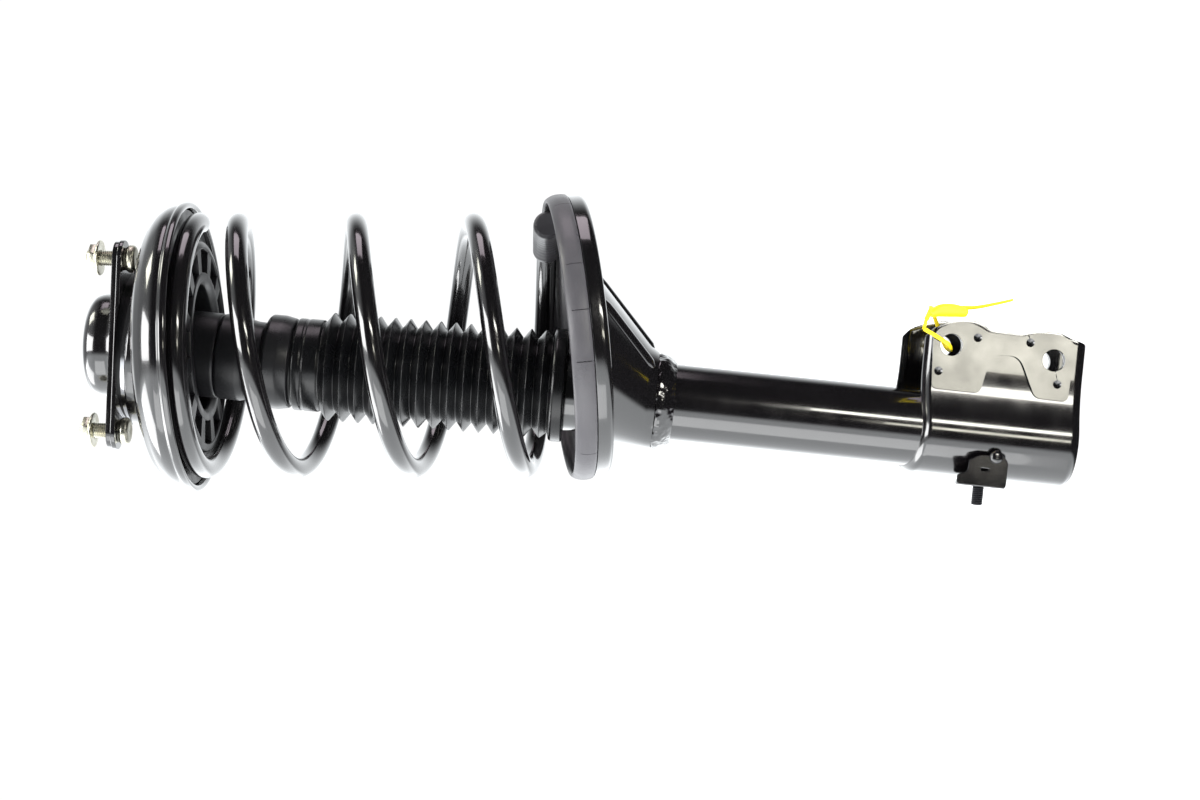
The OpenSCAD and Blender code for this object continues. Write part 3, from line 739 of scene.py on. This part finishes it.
DOUBLER = [(60, -526), (65, -528.5), (69, -535), (71.4, -542), (71.2, -550),
           (69, -556), (66.2, -561), (65.8, -584), (67.8, -589), (69.4, -597), (69, -609),
           (66.5, -615), (63.9, -617.6), (26.8, -616.8), (27.1, -595.3), (49.5, -584.6),
           (52.9, -579.7), (52, -566.7), (48.6, -563.8), (26.7, -559.6), (26.7, -528)]
DOUBLER_IN, DOUBLER_OUT = 21.02, 23.5
DIMPLES = ((62.1, -554.7), (38.2, -531.4), (62.4, -588.9), (37.3, -608.9))
PIT = [(0.02, -1.5), (1.2, -1.3), (2.8, 0.02), (2.8, 1), (0.02, 1)]
for side, name in ((-1, "near"), (1, "far")):
    face_y = side * DOUBLER_OUT
    plate = prism("doubler_plate_" + name, soft(DOUBLER, 4.0, 5), -side * DOUBLER_IN, -face_y,
                  turn(90, "X"))
    cut(plate, *bolt_drills())
    cut(plate, *[lathe("pit", PIT, move(x, face_y, z) @ turn(-90 * side, "X"), 32)
                 for x, z in DIMPLES])
    bevel(plate, 0.6, 3, 40)
    finish_piece(plate, "strut", "black_paint", ["doubler_" + name], sharp=40)

# ---------------------------------------------------------------- hose bracket and screw
SCREW_AT = (-33.5, -20.0, -565.5)
TAB_X = SCREW_AT[0]
CLIP_Y, CLIP_LOW, CLIP_T = -31.2, -581.0, 2.6
TAB_ALONG_X = Matrix(((0, 0, 1, TAB_X), (1, 0, 0, 0), (0, 1, 0, 0), (0, 0, 0, 1)))
IN_XZ = turn(90, "X")


def up_clip(*line):
    """Points of the hose bracket, with heights above its lower edge."""
    return [(a, CLIP_LOW + h) for a, h in line]


face = up_clip((TAB_X + 0.4, 0), (-16, 0), (-13, 3), (-13, 19), (-17, 25), (-24.5, 25.5),
               (-27, 32), (TAB_X + 0.4, 32))
clip = prism("clip", soft(face, 2.0, 4), -CLIP_Y, -CLIP_Y - CLIP_T, IN_XZ)
cut(clip, prism("h", up_clip((-23, 12), (-21.4, 12), (-21.4, 17), (-23, 17)), 60, 0, IN_XZ))
bevel(clip, 0.5, 2, 40)
fold = up_clip((CLIP_Y + 0.2, 0), (-9, 2), (-9, 30), (CLIP_Y + 0.2, 32))
tab = prism("tab", soft(fold, 3, 4), 0, CLIP_T, TAB_ALONG_X)
bevel(tab, 0.5, 2, 40)
foot = prism("foot", up_clip((-24, 3), (-13.3, 3), (-13.3, 10), (-24, 10)), 15, 30, IN_XZ)
cut(foot, prism("h", disc(29.62, FINE), CLIP_LOW - 10, CLIP_LOW + 40))
stub = lathe("stub", soft([(0.02, 0), (4.4, 0), (4.4, 2), (3.2, 3.6), (0.02, 4.2)], 1.2, 4),
             move(-13.5, CLIP_Y + 1.5, -573) @ IN_XZ, 48)
join(clip, tab, foot, stub)
finish_piece(clip, "strut", "black_paint", ["hose_bracket"])
place = move(*SCREW_AT) @ turn(-90, "Y")
screw = thread("screw", 3.98, 0.5, 12.1, SCREW_PITCH, place)
neck = lathe("neck", [(0.02, -3), (3.6, -3), (3.6, 0.6), (0.02, 0.6)], place, 48)
head = bevel(prism("head", hex_line(6.5, 0), -6.6, -2.7), 0.5, 2, 30)
head.data.transform(place)
join(screw, neck, head)
finish_piece(screw, "strut", "dark_steel", ["hose_bolt"], sharp=50)

# ---------------------------------------------------------------- yellow tie
def curve_points(knots, steps=14):
    """A smooth curve through the knots."""
    out = []
    for i in range(len(knots) - 1):
        a, b = Vector(knots[max(i - 1, 0)]), Vector(knots[i])
        c, d = Vector(knots[i + 1]), Vector(knots[min(i + 2, len(knots) - 1)])
        for j in range(steps):
            f = j / steps
            out.append(b + 0.5 * f * (c - a + f * (2 * a - 5 * b + 4 * c - d
                       + f * (3 * (b - c) + d - a))))
    return out + [Vector(knots[-1])]


TAIL = [(64, -31, -518), (72, -29, -520), (77, -25, -526), (80, -20, -536), (82, -14, -552),
        (86, -10, -566), (90, -8, -578)]
LOOP = [(64, -31, -518), (60, -26, -528), (56, -24.5, -536), (53, -14, -540), (56, 0, -538),
        (70, -6, -530), (79, -16, -524), (77, -26, -522), (70, -31, -519)]
LEAF = [(74, -27, -522), (77, -26, -528), (78, -24, -538), (77, -22, -546)]
strand, leaf = curve_points(TAIL), curve_points(LEAF)
tie = sweep("tie_tail", strand, lambda i: 2.6 - 1.4 * i / len(strand), 14, scale=(1.0, 0.45))
band = sweep("tie_loop", curve_points(LOOP), 1.1, 12, scale=(1.4, 0.7))
knot = sweep("tie_knot", leaf, lambda i: 2.4 + 2.2 * math.sin(math.pi * i / (len(leaf) - 1)), 16,
             scale=(1.2, 0.8))
join(tie, band, knot)
finish_piece(tie, "strut", TIE, sharp=60)

# ---------------------------------------------------------------- stage, lights, camera
floor_z = min(cad_box[0].z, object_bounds()[0].z) - 0.0005
FLOOR = 6.0
floor = raw_object("floor", [(x * FLOOR, y * FLOOR, floor_z)
                             for x, y in ((-1, -1), (1, -1), (1, 1), (-1, 1))], [(0, 1, 2, 3)])
pale = material("floor_pale", (0.86, 0.86, 0.86), 0.6, spec=0.2)
glow = pale.node_tree.nodes["Principled BSDF"].inputs
glow["Emission Color"].default_value = (1, 1, 1, 1)
glow["Emission Strength"].default_value = 1.0
floor.data.materials.append(pale)
# the paint mirrors the lamps below and not the floor in front of them
floor.visible_glossy = False
floor.visible_shadow = False


def lamp(name, where, target, width, height, watts, colour=(1, 1, 1)):
    """A flat lamp at a place, facing a target; its width lies level."""
    data = bpy.data.lights.new(name, "AREA")
    data.shape = "RECTANGLE"
    data.size, data.size_y = width, height
    data.energy, data.color = watts, colour
    o = show(name, data)
    o.location = where
    o.rotation_mode = "QUATERNION"
    look = (Vector(target) - Vector(where)).normalized()
    side = look.cross(Vector((0, 0, 1))).normalized()
    up = side.cross(look)
    o.rotation_quaternion = Matrix((side, up, -look)).transposed().to_quaternion()


MID = (0.0, 0.0, -0.315)
lamp("strip", (0.5, -1.18, -0.8), (0, 0, -0.56), 0.16, 0.46, 3.2, (1, 0.98, 0.9))
lamp("card", (0.11, -1.32, -0.85), (0.05, 0, -0.57), 0.13, 0.27, 0.85, (1, 0.97, 0.84))
lamp("crown", (-0.02, -0.75, 0.96), (0, -0.09, -0.035), 0.6, 0.9, 14)
lamp("window", (0.74, -0.22, 0.87), (0.04, -0.08, -0.03), 0.4, 0.4, 4, (1, 0.99, 0.86))
lamp("corner", (-0.85, 0, 0.85), (0, -0.05, -0.05), 0.8, 0.8, 10)
lamp("side", (-1.4, -1.0, -0.2), MID, 1.0, 1.6, 9)
lamp("high", (1.6, 0.1, 0.1), MID, 0.8, 0.9, 5, (1.0, 0.88, 0.96))

world = bpy.data.worlds.new("studio")
bpy.context.scene.world = world
world.use_nodes = True
t = world.node_tree
t.nodes.clear()
out = t.nodes.new("ShaderNodeOutputWorld")
white = t.nodes.new("ShaderNodeBackground")
white.inputs["Color"].default_value = (1, 1, 1, 1)
white.inputs["Strength"].default_value = 1.05
room = t.nodes.new("ShaderNodeBackground")
mix = t.nodes.new("ShaderNodeMixShader")
path = t.nodes.new("ShaderNodeLightPath")
coord = t.nodes.new("ShaderNodeTexCoord")
parts_of = t.nodes.new("ShaderNodeSeparateXYZ")
t.links.new(coord.outputs["Generated"], parts_of.inputs["Vector"])


def ramp(value, low, high, start, end):
    r = t.nodes.new("ShaderNodeMapRange")
    r.interpolation_type = "SMOOTHSTEP"
    for key, v in (("From Min", low), ("From Max", high), ("To Min", start), ("To Max", end)):
        r.inputs[key].default_value = v
    t.links.new(value, r.inputs["Value"])
    return r.outputs["Result"]


def add(a, b):
    n = t.nodes.new("ShaderNodeMath")
    n.operation = "ADD"
    t.links.new(a, n.inputs[0])
    t.links.new(b, n.inputs[1])
    return n.outputs["Value"]


# the paint sees a bright room on the side under the strut, behind it and above it
below = ramp(parts_of.outputs["X"], -0.28, -0.46, 0.03, 1.7)
behind = ramp(parts_of.outputs["Y"], 0.4, 0.95, 0.0, 1.3)
above = ramp(parts_of.outputs["Z"], 0.4, 0.8, 0.0, 0.5)
t.links.new(add(add(below, behind), above), room.inputs["Strength"])
room.inputs["Color"].default_value = (0.95, 0.98, 1.0, 1)
t.links.new(path.outputs["Is Camera Ray"], mix.inputs["Fac"])
t.links.new(room.outputs["Background"], mix.inputs[1])
t.links.new(white.outputs["Background"], mix.inputs[2])
t.links.new(mix.outputs["Shader"], out.inputs["Surface"])
bpy.context.scene.view_settings.view_transform = "Standard"

cam_data = bpy.data.cameras.new("camera")
cam = show("camera", cam_data)
bpy.context.scene.camera = cam
ROLL = math.radians(5.915)  # the strut lies on its side in the view, a little off level
right = Vector((math.sin(ROLL), 0, -math.cos(ROLL)))
up = Vector((math.cos(ROLL), 0, math.sin(ROLL)))
cam.rotation_mode = "QUATERNION"
cam.rotation_quaternion = Matrix((right, up, right.cross(up))).transposed().to_quaternion()
cam.location = (-0.0032, -1.25, -0.3153)
cam_data.sensor_width = 36
cam_data.lens = 56.8
cam_data.clip_start, cam_data.clip_end = 0.05, 30
